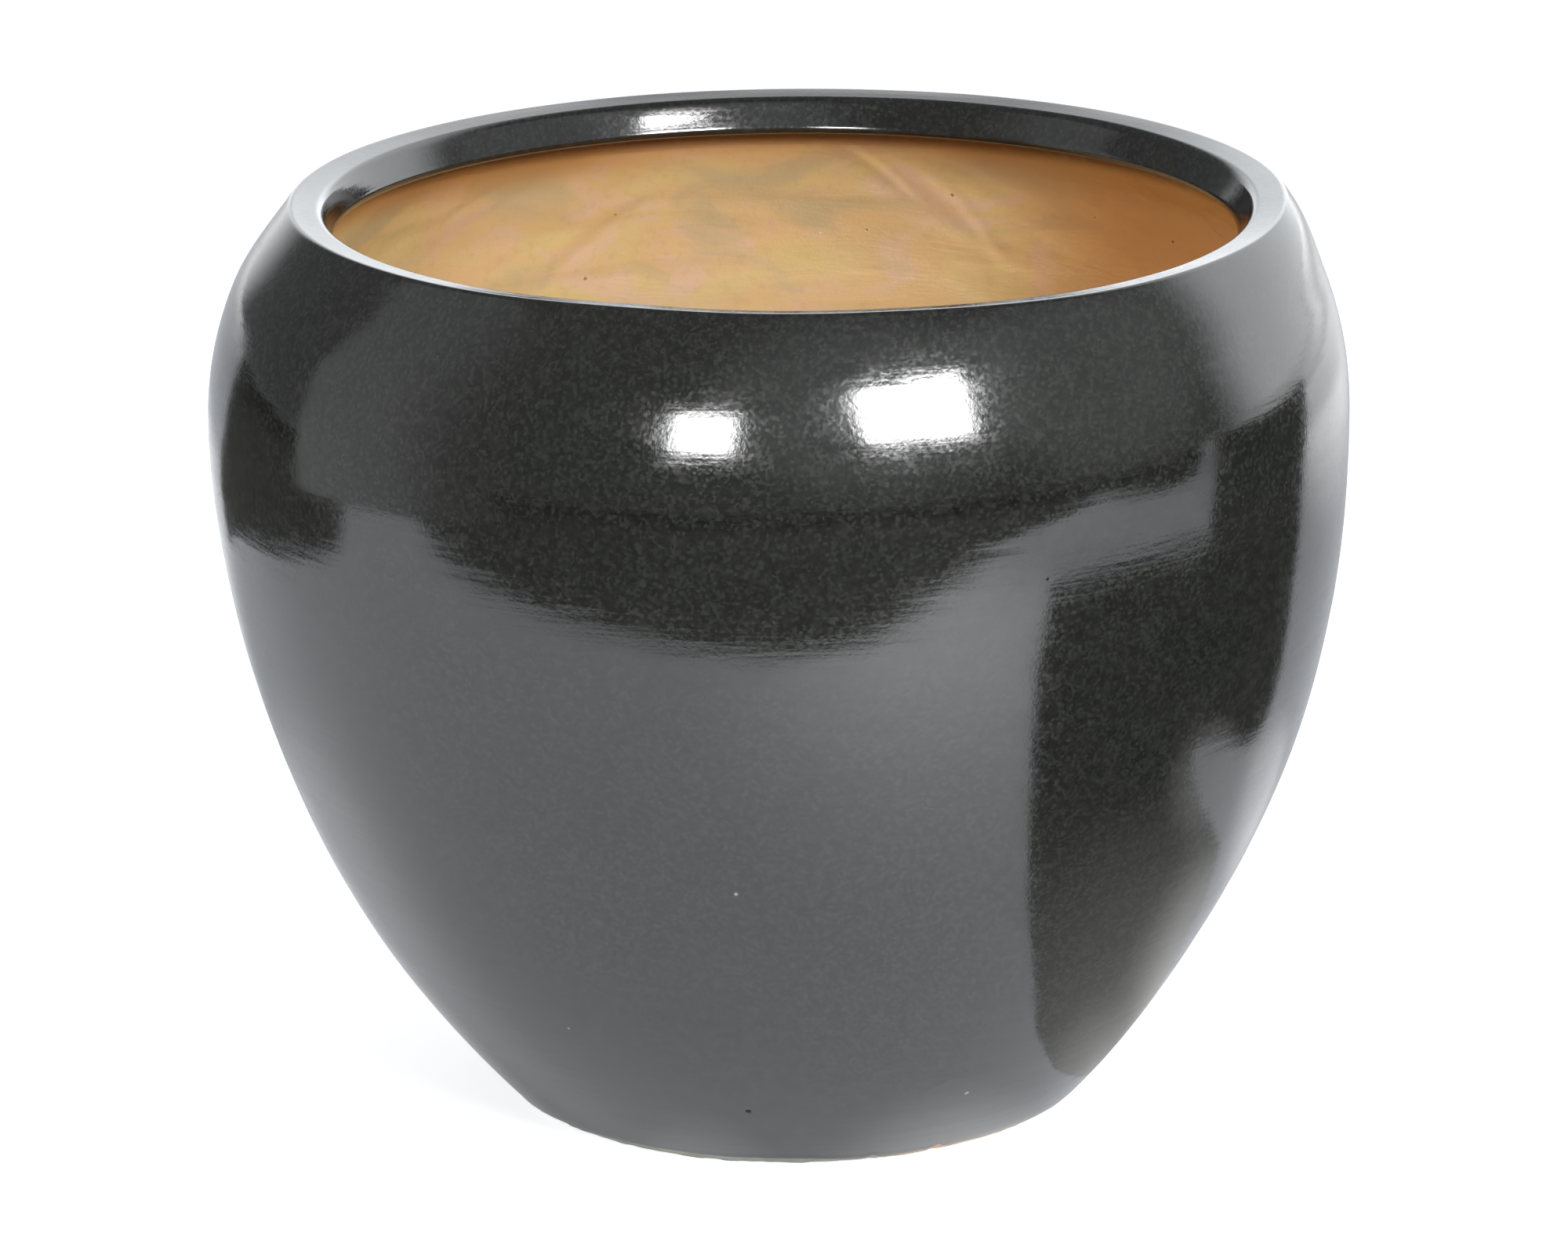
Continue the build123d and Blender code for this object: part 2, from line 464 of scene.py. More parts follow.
def foot_slide(theta, r, z):
    """Moves the lowest millimetres of the glaze up or down the wall, so that its edge is ragged."""
    near_foot = (1 - step_up(z, BARE_FOOT, BARE_FOOT + RAGGED_REACH)) * (r > FOOT_R - 0.02)
    return glaze_edge(theta) * near_foot


def wall_outline(low_seam, high_seam):
    """Closed outline of a wall section between the tops of its lower and upper seams."""
    low_out, low_in = seam_places(low_seam, SLIP)
    high_out, high_in = seam_places(high_seam)
    return np.vstack([
        covered(low_out, high_out, HIDDEN),
        across(high_out, high_in),
        shown(high_in, low_in, INSIDE),
        across(low_in, low_out),
    ])


def slip_outline(seam):
    """Closed outline of the layer of slip in a seam."""
    low_out, low_in = seam_places(seam)
    high_out, high_in = seam_places(seam, SLIP)
    return np.vstack([
        covered(low_out, high_out, SLIP),
        across(high_out, high_in),
        shown(high_in, low_in, SLIP / 2),
        across(low_in, low_out),
    ])


def rim_outline():
    """Closed outline of the coil that forms the ledge and the lip."""
    low_out, low_in = seam_places(RIM_SEAM, SLIP)
    return np.vstack([
        covered(low_out, nearest(CLAY, RIM_EDGE) - 0.002, HIDDEN / 2),
        covered(nearest(CLAY, RIM_EDGE) - 0.0015, MOUTH_PLACE + GLAZE_UNDER_LIP - 0.0004, FINE),
        shown(MOUTH_PLACE + GLAZE_UNDER_LIP, low_in, 0.0005),
        across(low_in, low_out),
    ])


def slab_outline():
    """Closed outline of the floor slab with its drain hole."""
    low_out = seam_places(FOOT_SEAM, SLIP)[0]
    high_out, high_in = seam_places(BASE_SEAM)
    recess = nearest(CLAY, RECESS_CORNER)
    hole_top = nearest(CLAY, DRAIN_EDGE) - 0.003
    hole_end = nearest(CLAY, DRAIN_UNDER) + 0.003
    return np.vstack([
        covered(low_out, high_out, 0.002),
        across(high_out, high_in),
        shown(high_in, hole_top, 0.0013)[:-1],
        shown(hole_top, hole_end, 0.0006)[:-1],
        shown(hole_end, recess, 0.0016),
        across(recess, low_out),
    ])


def foot_outline():
    """Closed outline of the foot ring."""
    top_out = seam_places(FOOT_SEAM)[0]
    foot = shown(nearest(CLAY, RECESS_CORNER) + SLIP, CLAY_LENGTH - 0.0006, 0.0006)
    edge = shown(0.0006, top_out, FINE)
    edge[edge[:, 1] > BARE_FOOT + 0.003, 4] = 0.0
    return np.vstack([edge, across(top_out, nearest(CLAY, RECESS_CORNER) + SLIP), foot])


def foot_slip_outline():
    """Closed outline of the slip between the foot ring and the floor slab."""
    low_out, high_out = seam_places(FOOT_SEAM)[0], seam_places(FOOT_SEAM, SLIP)[0]
    recess = nearest(CLAY, RECESS_CORNER)
    return np.vstack([
        covered(low_out, high_out, SLIP),
        across(high_out, recess),
        covered(recess, recess + SLIP, SLIP),
        across(recess + SLIP, low_out),
    ])


# ---------------------------------------------------------------- shader nodes


class Surface:
    """A node material, with short calls that each add one node and return its output."""

    def __init__(self, name):
        self.material = bpy.data.materials.new(name)
        self.material.use_nodes = True
        self.nodes = self.material.node_tree.nodes
        self.links = self.material.node_tree.links
        self.nodes.clear()
        self.shader = self.nodes.new("ShaderNodeBsdfPrincipled")
        output = self.nodes.new("ShaderNodeOutputMaterial")
        self.links.new(self.shader.outputs["BSDF"], output.inputs["Surface"])
        self.place = self.nodes.new("ShaderNodeTexCoord").outputs["Object"]

    def wire(self, value, socket):
        """Link an output to a socket, or set the socket to a plain value."""
        if isinstance(value, bpy.types.NodeSocket):
            self.links.new(value, socket)
        elif isinstance(value, tuple) and socket.type == "RGBA":
            socket.default_value = (*value, 1.0)
        else:
            socket.default_value = value

    def scaled(self, size, flatten=1.0, move=0.0):
        """The object's coordinates counted in lumps of a size in metres, flattened into level streaks."""
        node = self.nodes.new("ShaderNodeMapping")
        self.wire(self.place, node.inputs["Vector"])
        node.inputs["Scale"].default_value = (1 / size, 1 / size, flatten / size)
        node.inputs["Location"].default_value = (move, move, move)
        return node.outputs["Vector"]

    def noise(self, size, detail=2.0, roughness=0.5, flatten=1.0, distortion=0.0, move=0.0):
        node = self.nodes.new("ShaderNodeTexNoise")
        self.wire(self.scaled(size, flatten, move), node.inputs["Vector"])
        node.inputs["Scale"].default_value = 1.0
        node.inputs["Detail"].default_value = detail
        node.inputs["Roughness"].default_value = roughness
        node.inputs["Distortion"].default_value = distortion
        return node.outputs["Fac"]

    def cells(self, size, output="Distance"):
        """Scattered cells of a size in metres: the distance to the nearest centre, or a colour per cell."""
        node = self.nodes.new("ShaderNodeTexVoronoi")
        self.wire(self.scaled(size), node.inputs["Vector"])
        node.inputs["Scale"].default_value = 1.0
        return node.outputs[output]

    def along(self, axis):
        """The object's coordinate along one axis, in metres."""
        node = self.nodes.new("ShaderNodeSeparateXYZ")
        self.wire(self.place, node.inputs["Vector"])
        return node.outputs[axis]

    def distance_to(self, point):
        node = self.nodes.new("ShaderNodeVectorMath")
        node.operation = "DISTANCE"
        self.wire(self.place, node.inputs[0])
        node.inputs[1].default_value = point
        return node.outputs["Value"]

    def span(self, value, low, high, to_low=0.0, to_high=1.0):
        """A value's stretch from low to high, spread smoothly over a new range."""
        node = self.nodes.new("ShaderNodeMapRange")
        node.interpolation_type = "SMOOTHSTEP"
        names = ("Value", "From Min", "From Max", "To Min", "To Max")
        for name, number in zip(names, (value, low, high, to_low, to_high)):
            self.wire(number, node.inputs[name])
        return node.outputs["Result"]

    def math(self, operation, first, second):
        node = self.nodes.new("ShaderNodeMath")
        node.operation = operation
        self.wire(first, node.inputs[0])
        self.wire(second, node.inputs[1])
        return node.outputs["Value"]

    def mix(self, share, first, second):
        """Colour between two colours, by share."""
        node = self.nodes.new("ShaderNodeMix")
        node.data_type = "RGBA"
        self.wire(share, node.inputs["Factor"])
        for value, name in ((first, "A"), (second, "B")):
            self.wire(value, [s for s in node.inputs if s.name == name and s.type == "RGBA"][0])
        return [s for s in node.outputs if s.type == "RGBA"][0]

    def bump(self, height, depth, under=None):
        """Normal of a surface whose height field is as deep as depth, in metres."""
        node = self.nodes.new("ShaderNodeBump")
        node.inputs["Strength"].default_value = 1.0
        node.inputs["Distance"].default_value = depth
        self.wire(height, node.inputs["Height"])
        if under is not None:
            self.wire(under, node.inputs["Normal"])
        return node.outputs["Normal"]

    def finish(self, **sockets):
        for name, value in sockets.items():
            self.wire(value, self.shader.inputs[name.replace("_", " ")])
        return self.material


# ---------------------------------------------------------------- materials

# Blemishes of the glaze, each degrees right of the front, height and radius: dark pits and pale flecks
GLAZE_PITS = (
    (-6.9, 0.0284, 0.0013),
    (25.6, 0.2327, 0.0009),
    (-95.0, 0.120, 0.0011),
    (140.0, 0.270, 0.0012),
)
GLAZE_FLECKS = (
    (-5.8, 0.1248, 0.0008),
    (28.0, 0.0301, 0.0011),
    (-31.0, 0.060, 0.0006),
    (171.0, 0.150, 0.0009),
)


def on_outside(azimuth, z):
    """Point on the glazed outside, by degrees right of the front and height."""
    r, a = float(outer(z, 0.0)), radians(azimuth)
    return (r * sin(a), -r * cos(a), z)


def black_glaze_material():
    """Glossy near-black glaze: fine mottle, soft clouds, faint turning marks, brown where it thins."""
    s = Surface("black_glaze")
    cloud = s.noise(0.040, detail=3.0, flatten=1.6)
    dark = s.mix(cloud, (0.0030, 0.0033, 0.0027), (0.0080, 0.0080, 0.0060))
    grains = s.cells(0.0011, "Color")
    colour = s.mix(s.span(grains, 0.35, 1.0, 0.0, 0.24), dark, (0.060, 0.066, 0.059))
    blotch = s.cells(0.0023, "Color")
    colour = s.mix(s.span(blotch, 0.30, 1.0, 0.0, 0.09), colour, (0.048, 0.051, 0.043))
    thin = s.span(s.along("Z"), 0.0022, 0.0034, 1.0, 0.0)
    colour = s.mix(thin, colour, (0.070, 0.056, 0.034))

    streaks = s.noise(0.090, detail=3.0, roughness=0.55, flatten=13.0)
    grain = s.noise(0.0014, detail=2.0, roughness=0.6)
    normal = s.bump(streaks, 0.00010)
    normal = s.bump(grain, 0.000022, normal)
    gloss = 0.5
    for azimuth, z, radius in GLAZE_PITS:
        pit = s.distance_to(on_outside(azimuth, z))
        colour = s.mix(s.span(pit, 0.7 * radius, 1.2 * radius, 1.0, 0.0), colour, (0.010, 0.009, 0.008))
        gloss = s.math("MULTIPLY", s.span(pit, 0.6 * radius, 1.1 * radius, 0.1, 1.0), gloss)
        normal = s.bump(s.span(pit, 0.7 * radius, 1.6 * radius), 0.00008, normal)
    for azimuth, z, radius in GLAZE_FLECKS:
        fleck = s.distance_to(on_outside(azimuth, z))
        colour = s.mix(s.span(fleck, 0.4 * radius, 1.2 * radius, 0.8, 0.0), colour, (0.26, 0.25, 0.22))
    smooth = s.span(s.noise(0.018, detail=4.0, flatten=2.0), 0.3, 0.7, 0.08, 0.13)
    roughness = s.math("ADD", smooth, s.span(grains, 0.25, 1.0, 0.0, 0.065))
    return s.finish(Base_Color=colour, Roughness=roughness, IOR=1.95, Specular_IOR_Level=gloss, Normal=normal)


def clay_material(name):
    """Fired ochre clay, wiped by hand: yellow, pinkish and grey-brown clouds, with pits.

    Painted shade turns it a deeper red-brown near the lip and to the right, and darker brown in the upper
    corners to both sides. A painted shadow darkens it close under the lip."""
    s = Surface(name)
    cloud = s.noise(0.042, detail=4.0, roughness=0.55, flatten=1.5, distortion=1.0)
    patch = s.noise(0.075, detail=3.0, roughness=0.5, flatten=2.0, distortion=1.4, move=7.0)
    smear = s.noise(0.036, detail=4.0, roughness=0.6, flatten=1.7, distortion=0.9, move=3.0)
    wipe = s.noise(0.055, detail=5.0, roughness=0.6, flatten=4.5, distortion=0.5)
    colour = s.mix(s.span(cloud, 0.38, 0.62), (0.64, 0.425, 0.205), (0.62, 0.455, 0.195))
    colour = s.mix(s.span(smear, 0.50, 0.64, 0.0, 0.9), colour, (0.64, 0.435, 0.275))
    colour = s.mix(s.span(patch, 0.52, 0.66, 0.0, 0.85), colour, (0.49, 0.375, 0.205))
    colour = s.mix(s.span(wipe, 0.50, 0.72, 0.0, 0.35), colour, (0.68, 0.39, 0.150))
    # Painted shade: a deeper red-brown near the lip and to the right, where the inside lies in shade
    high = s.span(s.along("Z"), 0.288, 0.306, 0.0, 0.65)
    right = s.span(s.along("X"), 0.066, 0.130)
    painted_shade_redder = s.math("MAXIMUM", high, right)
    colour = s.mix(s.math("MULTIPLY", painted_shade_redder, 0.88), colour, (0.61, 0.285, 0.090))
    # Painted shade: darker brown in the upper corners to both sides, under the lip
    sideways = s.span(s.math("ABSOLUTE", s.along("X"), 0.0), 0.030, 0.085)
    corner = s.math("MULTIPLY", sideways, s.span(s.along("Z"), 0.284, 0.301, 0.0, 0.55))
    colour = s.mix(corner, colour, (0.42, 0.18, 0.025))
    # Painted shadow: a dark brown band close under the lip
    colour = s.mix(s.span(s.along("Z"), 0.2988, 0.3046, 0.0, 0.90), colour, (0.18, 0.070, 0.018))
    colour = s.mix(s.span(s.along("Z"), 0.225, 0.262, 0.25, 0.0), colour, (0.30, 0.235, 0.165))
    colour = s.mix(s.span(s.noise(0.0040, detail=3.0), 0.5, 0.75, 0.0, 0.2), colour, (0.42, 0.26, 0.12))
    rare = s.span(s.cells(0.016, "Color"), 0.50, 0.60)
    pit = s.math("MULTIPLY", s.span(s.cells(0.016), 0.026, 0.050, 1.0, 0.0), rare)
    colour = s.mix(s.math("MULTIPLY", pit, 0.6), colour, (0.20, 0.110, 0.045))
    colour = s.mix(s.span(s.cells(0.021), 0.016, 0.026, 0.6, 0.0), colour, (0.80, 0.74, 0.60))
    grain = s.noise(0.0012, detail=4.0, roughness=0.7)
    normal = s.bump(wipe, 0.0006)
    normal = s.bump(grain, 0.00008, normal)
    normal = s.bump(s.math("SUBTRACT", 1.0, pit), 0.0004, normal)
    roughness = s.span(cloud, 0.3, 0.7, 0.52, 0.70)
    return s.finish(Base_Color=colour, Roughness=roughness, Normal=normal)


def foot_material():
    """Bare clay of the foot: stained grey from the kiln shelf and the ground, orange where it is fresh.

    A painted contact shadow darkens its bottom edge, and painted shade darkens its chips.
    """
    s = Surface("worn_foot")
    stain = s.noise(0.030, detail=4.0, roughness=0.6)
    fresh = s.noise(0.060, detail=2.0, move=4.0)
    colour = s.mix(s.span(stain, 0.35, 0.65), (0.27, 0.27, 0.24), (0.19, 0.195, 0.17))
    colour = s.mix(s.span(fresh, 0.58, 0.70, 0.0, 0.35), colour, (0.40, 0.28, 0.17))
    orange = s.distance_to(on_outside(38.0, 0.0))
    colour = s.mix(s.span(orange, 0.022, 0.044, 0.8, 0.0), colour, (0.56, 0.33, 0.16))
    # Painted contact shadow: dark along the very bottom of the foot
    colour = s.mix(s.span(s.along("Z"), 0.0002, 0.0012, 0.75, 0.0), colour, (0.085, 0.085, 0.075))
    # Painted shade: each chip is darkened where its clay would lie in shadow
    for azimuth, size, _ in FOOT_CHIPS:
        chip = s.distance_to(on_outside(azimuth, 0.0012))
        colour = s.mix(s.span(chip, 0.5 * size, 1.1 * size, 0.9, 0.0), colour, (0.045, 0.040, 0.035))
    grit = s.noise(0.0011, detail=4.0, roughness=0.7)
    colour = s.mix(s.span(grit, 0.5, 0.8, 0.0, 0.4), colour, (0.12, 0.11, 0.09))
    normal = s.bump(grit, 0.00018)
    roughness = s.span(stain, 0.3, 0.7, 0.72, 0.88)
    return s.finish(Base_Color=colour, Roughness=roughness, Normal=normal)


# ---------------------------------------------------------------- the pot


def make_pot():
    """All ten rings, each in place of its node."""
    clay = clay_material("bare_clay")
    slip = clay_material("clay_slip")
    glaze = black_glaze_material()
    foot = foot_material()
    upper = wall_outline(BELLY_SEAM, RIM_SEAM)
    lower = wall_outline(BASE_SEAM, BELLY_SEAM)
    # node, piece, outline, columns, relief, slot, material
    rings = (
        ("rim_ring", "rim_coil", rim_outline(), WALL_COLUMNS, clay_relief, "bare_clay", clay),
        ("rim_slip", "rim_slip_seam", slip_outline(RIM_SEAM), WALL_COLUMNS, clay_relief, "slip", slip),
        ("upper_wall", "upper_wall_section", upper, WALL_COLUMNS, clay_relief, "bare_clay", clay),
        ("belly_slip", "belly_slip_seam", slip_outline(BELLY_SEAM), WALL_COLUMNS, clay_relief, "slip", slip),
        ("lower_wall", "lower_wall_section", lower, LOW_WALL_COLUMNS, clay_relief, "bare_clay", clay),
        ("base_slip", "base_slip_seam", slip_outline(BASE_SEAM), LOW_WALL_COLUMNS, clay_relief, "slip", slip),
        ("base_slab", "floor_slab", slab_outline(), FLOOR_COLUMNS, clay_relief, "bare_clay", clay),
        ("foot_slip", "foot_slip_seam", foot_slip_outline(), FLOOR_COLUMNS, clay_relief, "slip", slip),
        ("foot_ring", "foot_ring_clay", foot_outline(), FOOT_COLUMNS, foot_relief, "bare_clay", foot),
    )
    coat = lathe(
        "black_glaze_coat", glaze_outline(), GLAZE_COLUMNS, glaze_relief, glaze, foot_slide
    )
    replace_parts(coat, "black_glaze")
    for node, name, outline, columns, relief, slot, material in rings:
        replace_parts(lathe(name, outline, columns, relief, material), node)


# ---------------------------------------------------------------- the studio


def stage_material(name, colour, glow=0.0):
    """Matt cloth or paper with a faint unevenness, that may glow a little."""
    s = Surface(name)
    tint = s.mix(s.noise(0.8, detail=3.0), tuple(0.97 * c for c in colour), colour)
    s.shader.inputs["Emission Strength"].default_value = glow
    s.shader.inputs["Specular IOR Level"].default_value = 0.0
    return s.finish(Base_Color=tint, Roughness=0.9, Emission_Color=colour)


def flat_panel(name, corners, material):
    """A flat panel through its corners."""
    mesh = bpy.data.meshes.new(name)
    mesh.from_pydata(corners, [], [list(range(len(corners)))])
    mesh.materials.append(material)
    panel = bpy.data.objects.new(name, mesh)
    bpy.context.scene.collection.objects.link(panel)
    return panel


def flag(name, corners, material):
    """A dark panel that only the glaze's reflections see."""
    panel = flat_panel(name, corners, material)
    panel.visible_camera = False
    panel.visible_diffuse = False
    panel.visible_shadow = False


def haze_material(name, half_width, half_height, fade, radiance):
    """Glow round a window that fades outwards from its frame."""
    s = Surface(name)
    sideways = s.math("ABSOLUTE", s.along("X"), 0.0)
    upwards = s.math("ABSOLUTE", s.along("Y"), 0.0)
    glow = s.math(
        "MULTIPLY",
        s.span(sideways, half_width, half_width + fade, radiance, 0.0),
        s.span(upwards, half_height, half_height + fade, 1.0, 0.0),
    )
    s.shader.inputs["Emission Color"].default_value = (1.0, 1.0, 1.0, 1.0)
    tint = s.mix(s.noise(0.8), (0.0, 0.0, 0.0), (0.01, 0.01, 0.01))
    return s.finish(Base_Color=tint, Roughness=1.0, Emission_Strength=glow)


# Height at which the lights are aimed
AIM_Z = 0.285


def window(name, azimuth, elevation, distance, width, height, radiance, haze, fade):
    """A soft rectangular light aimed at the pot, by degrees right of the front and above level, in a haze."""
    a, e = radians(azimuth), radians(elevation)
    data = bpy.data.lights.new(name, "AREA")
    data.shape = "RECTANGLE"
    data.size, data.size_y = width, height
    data.energy = radiance * pi * width * height
    lamp = bpy.data.objects.new(name, data)
    bpy.context.scene.collection.objects.link(lamp)
    # The haze starts to fade inside the frame, by 0.3 of the fade's width
    x, y = width / 2 + fade, height / 2 + fade
    glow = haze_material(name + "_haze", width / 2 - 0.3 * fade, height / 2 - 0.3 * fade, 1.3 * fade, haze)
    panel = flat_panel(name + "_haze", [(-x, -y, 0.0), (x, -y, 0.0), (x, y, 0.0), (-x, y, 0.0)], glow)
    panel.visible_shadow = False
    for thing, reach in ((lamp, distance), (panel, distance + 0.02)):
        thing.location = (reach * cos(e) * sin(a), -reach * cos(e) * cos(a), AIM_Z + reach * sin(e))
        thing.rotation_euler = (radians(90) - e, 0.0, a)
        thing.visible_camera = False


# Side light: degrees right of the front and above level, distance, size and power
FILL_AZIMUTH = -100
FILL_ELEVATION = 35
FILL_REACH = 3.0
FILL_SIZE = 1.0
FILL_POWER = 36.0


def side_fill():
    """Light from the left for the inside of the wall: the glaze doesn't mirror it, and it casts no shadow."""
    a, e = radians(FILL_AZIMUTH), radians(FILL_ELEVATION)
    data = bpy.data.lights.new("side_fill", "AREA")
    data.shape = "SQUARE"
    data.size = FILL_SIZE
    data.energy = FILL_POWER
    data.use_shadow = False
    lamp = bpy.data.objects.new("side_fill", data)
    bpy.context.scene.collection.objects.link(lamp)
    lamp.location = (FILL_REACH * cos(e) * sin(a), -FILL_REACH * cos(e) * cos(a), AIM_Z + FILL_REACH * sin(e))
    lamp.rotation_euler = (radians(90) - e, 0.0, a)
    lamp.visible_camera = False
    lamp.visible_glossy = False


# Brightness of the room between its bright directions
ROOM_GLOW = 0.15


def make_world():
    """A dim room in front of the pot and bright walls behind it: directions that each spread a soft glow."""
    world = bpy.data.worlds.new("studio")
    bpy.context.scene.world = world
    world.use_nodes = True
    nodes, links = world.node_tree.nodes, world.node_tree.links
    nodes.clear()
    direction = nodes.new("ShaderNodeTexCoord").outputs["Generated"]
    total = None
    glows = (  # degrees right of the front, elevation, inner and outer half-angle, brightness
        (141, 10, 25, 45, 1.62),
        (-178, 7, 6, 29, 1.35),
        (-161, 8, 9, 16, 0.45),
        (20, 32, 8, 38, 0.26),
        (72, 26, 14, 34, 0.22),
    )
    for azimuth, elevation, inside, outside, brightness in glows:
        a, e = radians(azimuth), radians(elevation)
        dot = nodes.new("ShaderNodeVectorMath")
        dot.operation = "DOT_PRODUCT"
        links.new(direction, dot.inputs[0])
        dot.inputs[1].default_value = (cos(e) * sin(a), -cos(e) * cos(a), sin(e))
        ramp = nodes.new("ShaderNodeMapRange")
        ramp.interpolation_type = "SMOOTHSTEP"
        links.new(dot.outputs["Value"], ramp.inputs["Value"])
        limits = (cos(radians(outside)), cos(radians(inside)), 0.0, brightness)
        for name, value in zip(("From Min", "From Max", "To Min", "To Max"), limits):
            ramp.inputs[name].default_value = value
        add = nodes.new("ShaderNodeMath")
        add.operation = "ADD"
        links.new(ramp.outputs["Result"], add.inputs[0])
        if total is None:
            add.inputs[1].default_value = ROOM_GLOW
        else:
            links.new(total, add.inputs[1])
        total = add.outputs["Value"]
    camera_ray = nodes.new("ShaderNodeLightPath").outputs["Is Camera Ray"]
    mix = nodes.new("ShaderNodeMix")
    mix.data_type = "FLOAT"
    links.new(camera_ray, mix.inputs["Factor"])
    links.new(total, mix.inputs["A"])
    mix.inputs["B"].default_value = 1.0
    back = nodes.new("ShaderNodeBackground")
    back.inputs["Color"].default_value = (0.97, 1.0, 1.03, 1.0)
    links.new(mix.outputs["Result"], back.inputs["Strength"])
    out = nodes.new("ShaderNodeOutputWorld")
    links.new(back.outputs["Background"], out.inputs["Surface"])


# Camera fitted to the photo's outline of the pot: place, degrees below level and degrees of roll
CAMERA_PLACE = (-0.0012, -2.5, 0.904)
CAMERA_DIP = 16.475
CAMERA_ROLL = -0.6
CAMERA_LENS = 168.9


def make_camera():
    """The camera, at the photo's viewing angle."""
    data = bpy.data.cameras.new("camera")
    data.sensor_width = 36.0
    data.lens = CAMERA_LENS
    data.clip_start, data.clip_end = 0.05, 100.0
    camera = bpy.data.objects.new("camera", data)
    bpy.context.scene.collection.objects.link(camera)
    camera.location = CAMERA_PLACE
    camera.rotation_mode = "XYZ"
    camera.rotation_euler = (radians(90 - CAMERA_DIP), 0.0, 0.0)
    camera.rotation_euler.rotate_axis("Z", radians(CAMERA_ROLL))
    bpy.context.scene.camera = camera


def floor_for_reflections():
    """The floor as the glaze sees it: pale, with painted pools of light that glow to the front right, far away
    and close by the foot.
    """
    s = Surface("reflected_floor")
    glow = 0.03
    # Painted light: pools that glow on the floor that only the glaze sees
    painted_light_patches = (  # centre, inner and outer radius, brightness
        ((0.30, -0.62, 0.0), 0.05, 0.50, 0.75),
        ((1.50, 1.30, 0.0), 0.70, 1.30, 0.90),
        ((-0.28, 0.75, 0.0), 0.10, 0.42, 0.50),
        ((0.85, 0.85, 0.0), 0.15, 0.50, 0.42),
        ((6.00, 5.00, 0.0), 3.50, 6.50, 1.00),
        ((0.00, 9.00, 0.0), 4.00, 8.00, 1.10),
        ((0.045, -0.075, 0.0), 0.012, 0.052, 0.60),
        ((-0.030, -0.090, 0.0), 0.008, 0.030, 0.22),
        ((-0.21, 0.12, 0.0), 0.08, 0.23, 0.22),
        ((0.29, 0.15, 0.0), 0.04, 0.11, 0.48),
    )
    for point, inside, outside, brightness in painted_light_patches:
        patch = s.span(s.distance_to(point), inside, outside, brightness, 0.0)
        glow = s.math("ADD", patch, glow)
    s.shader.inputs["Specular IOR Level"].default_value = 0.0
    s.shader.inputs["Emission Color"].default_value = (1.0, 1.0, 1.0, 1.0)
    tint = s.mix(s.noise(0.8, detail=3.0), (0.76, 0.775, 0.82), (0.79, 0.805, 0.845))
    return s.finish(Base_Color=tint, Roughness=0.9, Emission_Strength=glow)


def cloth_material():
    """Dark cloth, with painted light that glows where it lies close to the pot and towards its right edge."""
    s = Surface("dark_cloth")
    # Painted light: the cloth glows near the pot, by its tip, along its right edge and by its notch
    painted_light_near_pot = s.span(s.distance_to((0.12, -0.04, 0.0)), 0.03, 0.24, 0.33, 0.0)
    painted_light_near_tip = s.span(s.distance_to((0.112, -0.045, 0.0)), 0.012, 0.050, 0.22, 0.0)
    painted_light_near_edge = s.span(s.distance_to((0.20, 0.04, 0.0)), 0.02, 0.11, 0.48, 0.0)
    painted_light_near_notch = s.span(s.distance_to((0.34, -0.02, 0.0)), 0.03, 0.09, 0.42, 0.0)
    glow = s.math("ADD", s.math("ADD", painted_light_near_pot, painted_light_near_tip), s.math("ADD", painted_light_near_edge, painted_light_near_notch))
    s.shader.inputs["Specular IOR Level"].default_value = 0.0
    s.shader.inputs["Emission Color"].default_value = (1.0, 1.0, 1.0, 1.0)
    tint = s.mix(s.noise(0.1, detail=3.0), (0.045, 0.045, 0.045), (0.09, 0.09, 0.085))
    return s.finish(Base_Color=tint, Roughness=0.9, Emission_Strength=glow)


def wall_material():
    """Grey wall to the left, with painted light that glows most in its middle."""
    s = Surface("grey_wall")
    glow = s.math("MULTIPLY", s.span(s.along("Y"), -0.75, -0.10), s.span(s.along("Z"), 0.0, 1.3, 0.34, 0.20))
    s.shader.inputs["Specular IOR Level"].default_value = 0.0
    s.shader.inputs["Emission Color"].default_value = (0.97, 1.0, 1.03, 1.0)
    tint = s.mix(s.noise(0.3, detail=3.0), (0.08, 0.08, 0.08), (0.11, 0.11, 0.11))
    return s.finish(Base_Color=tint, Roughness=0.9, Emission_Strength=glow)


# Outline of the dark room's floor, from the right past the front of the pot to the left, then far round
DARK_ROOM = (
    (9.0, 0.30), (1.95, -0.12), (1.65, -0.38), (2.10, -1.07), (0.86, -0.87), (0.39, -0.74), (0.17, -0.64),
    (0.0, -0.625), (-0.15, -0.615), (-0.4, -0.56), (-0.74, -0.42), (-1.16, -0.40), (-1.16, -0.05),
    (-0.84, -0.03), (-0.76, 0.07), (-0.65, 0.34), (-0.58, 0.47), (-0.47, 0.545), (-0.53, 0.68),
    (-0.85, 0.92), (-7.0, 7.8), (-9.0, -9.0), (9.0, -9.0),
)

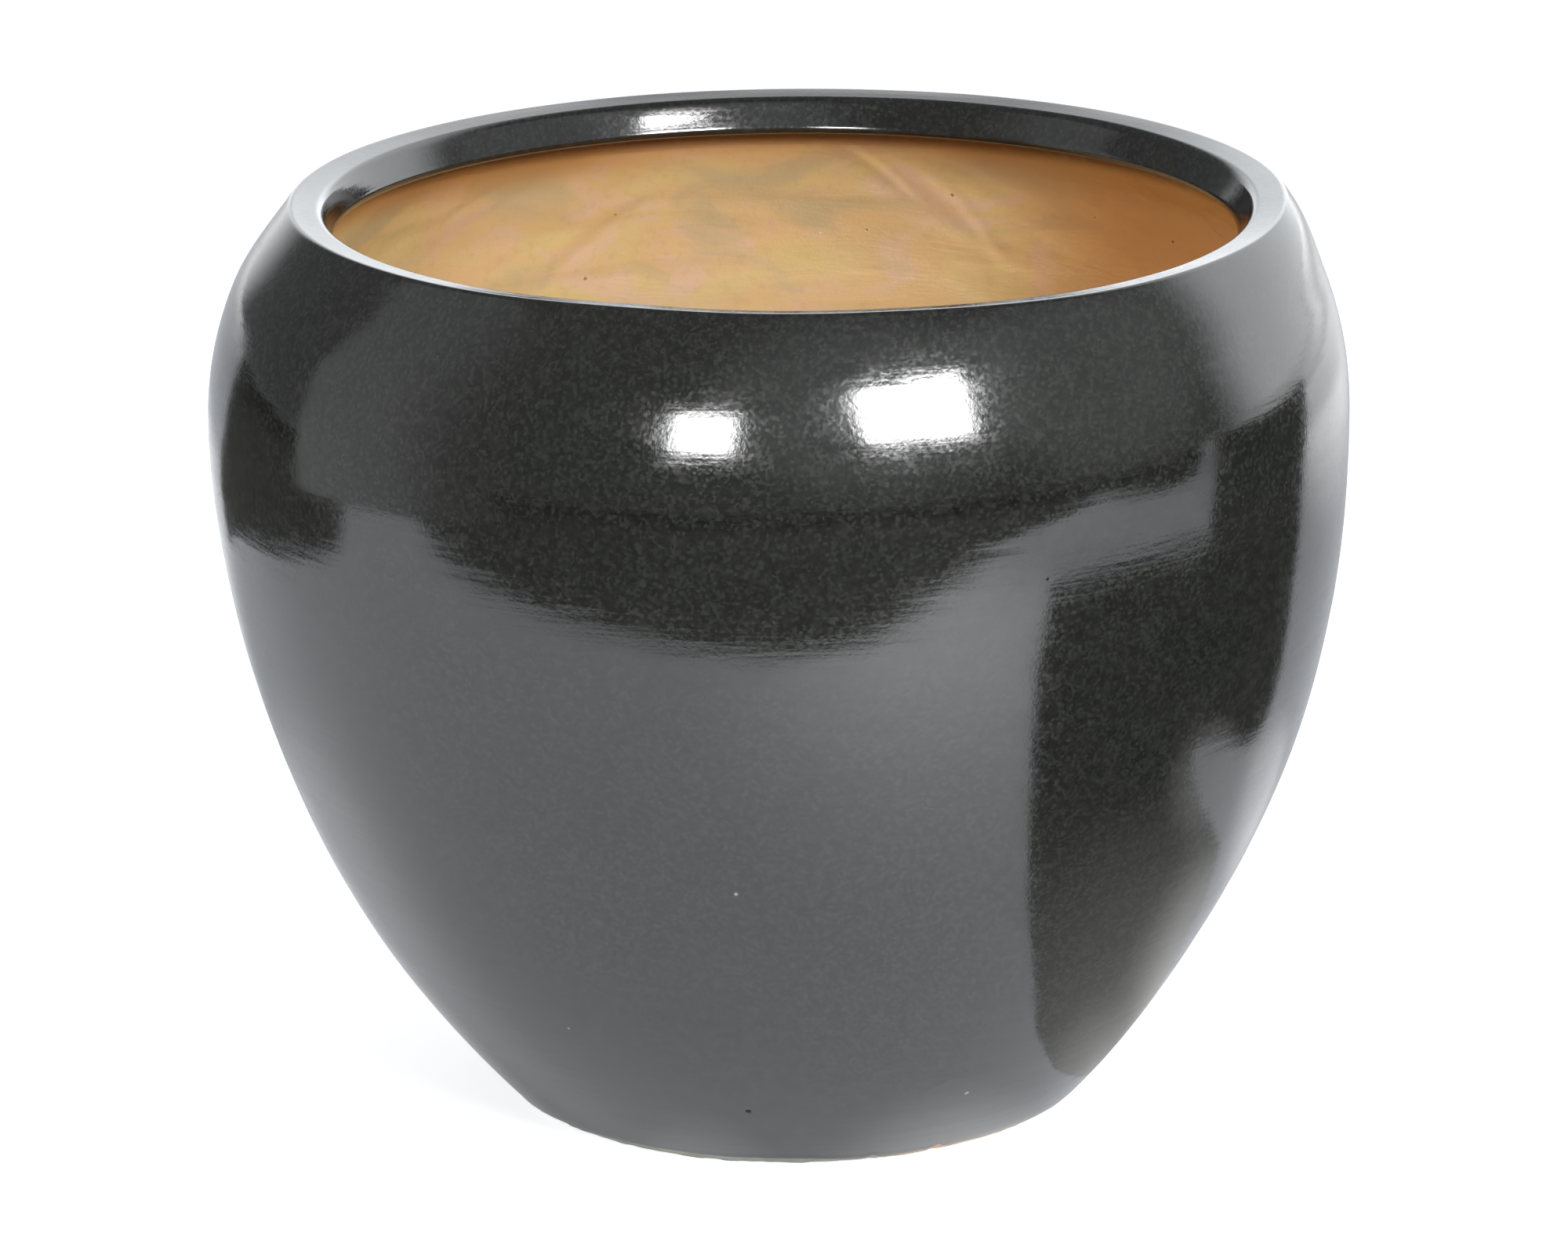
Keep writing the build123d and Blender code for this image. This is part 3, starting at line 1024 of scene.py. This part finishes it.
# Outline of the dark mat, from its tip beside the foot, anticlockwise
DARK_MAT = (
    (0.108, -0.020), (0.108, -0.070), (0.115, -0.098), (0.131, -0.122), (0.160, -0.170), (0.21, -0.23),
    (0.28, -0.30), (0.39, -0.40), (0.62, -0.54), (0.72, -0.45), (0.81, -0.32), (0.86, -0.15),
    (0.875, -0.06), (0.77, 0.40), (0.59, 0.26), (0.44, 0.17), (0.375, 0.12), (0.362, 0.06), (0.376, 0.0),
    (0.371, -0.058), (0.344, -0.055), (0.305, -0.025), (0.282, 0.01), (0.258, 0.045), (0.21, 0.055),
    (0.15, 0.045), (0.118, 0.02),
)

# Windows: name, degrees right of the front and above level, distance, width, height, radiance, radiance of the
# haze and the width over which the haze fades
WINDOWS = (
    ("left_window", -15.2, 21.7, 3.0, 0.53, 0.60, 18.5, 5.0, 0.14),
    ("right_window", 28, 25.8, 3.0, 1.04, 0.78, 24, 5.0, 0.18),
)

# Radius of the floor
FLOOR_REACH = 14.0

# Heights above the ground: the reflected floor, and the dark room's floor, with the mat twice as high
REFLECTED_FLOOR_Z = 0.0002
LIFT = 0.0005


def make_studio():
    """Floor, windows, fill light and flags."""
    turns = np.linspace(0, 2 * pi, 96, endpoint=False)
    rim = [(FLOOR_REACH * cos(a), FLOOR_REACH * sin(a), 0.0) for a in turns]
    floor = flat_panel("floor", rim, stage_material("pale_floor", (0.88, 0.89, 0.90), glow=0.58))
    floor.visible_glossy = False
    flag("reflected_floor", [(x, y, REFLECTED_FLOOR_Z) for x, y, _ in rim], floor_for_reflections())
    make_world()
    for row in WINDOWS:
        window(*row)
    side_fill()
    dark = stage_material("dark_room_floor", (0.09, 0.09, 0.085))
    flag("dark_room", [(x, y, LIFT) for x, y in DARK_ROOM], dark)
    cloth = cloth_material()
    flag("dark_mat", [(x, y, 2 * LIFT) for x, y in DARK_MAT], cloth)
    wall = [(-1.15, -0.85, 0.0), (-1.15, 0.25, 0.0), (-1.15, 0.25, 1.5), (-1.15, -0.85, 1.5)]
    flag("grey_wall", wall, wall_material())
    box = [(0.875, -0.06, 0.0), (0.77, 0.40, 0.0), (0.77, 0.40, 0.23), (0.875, -0.06, 0.25)]
    flag("dark_box", box, cloth)


make_pot()
make_studio()
make_camera()
bpy.context.scene.view_settings.view_transform = "Standard"
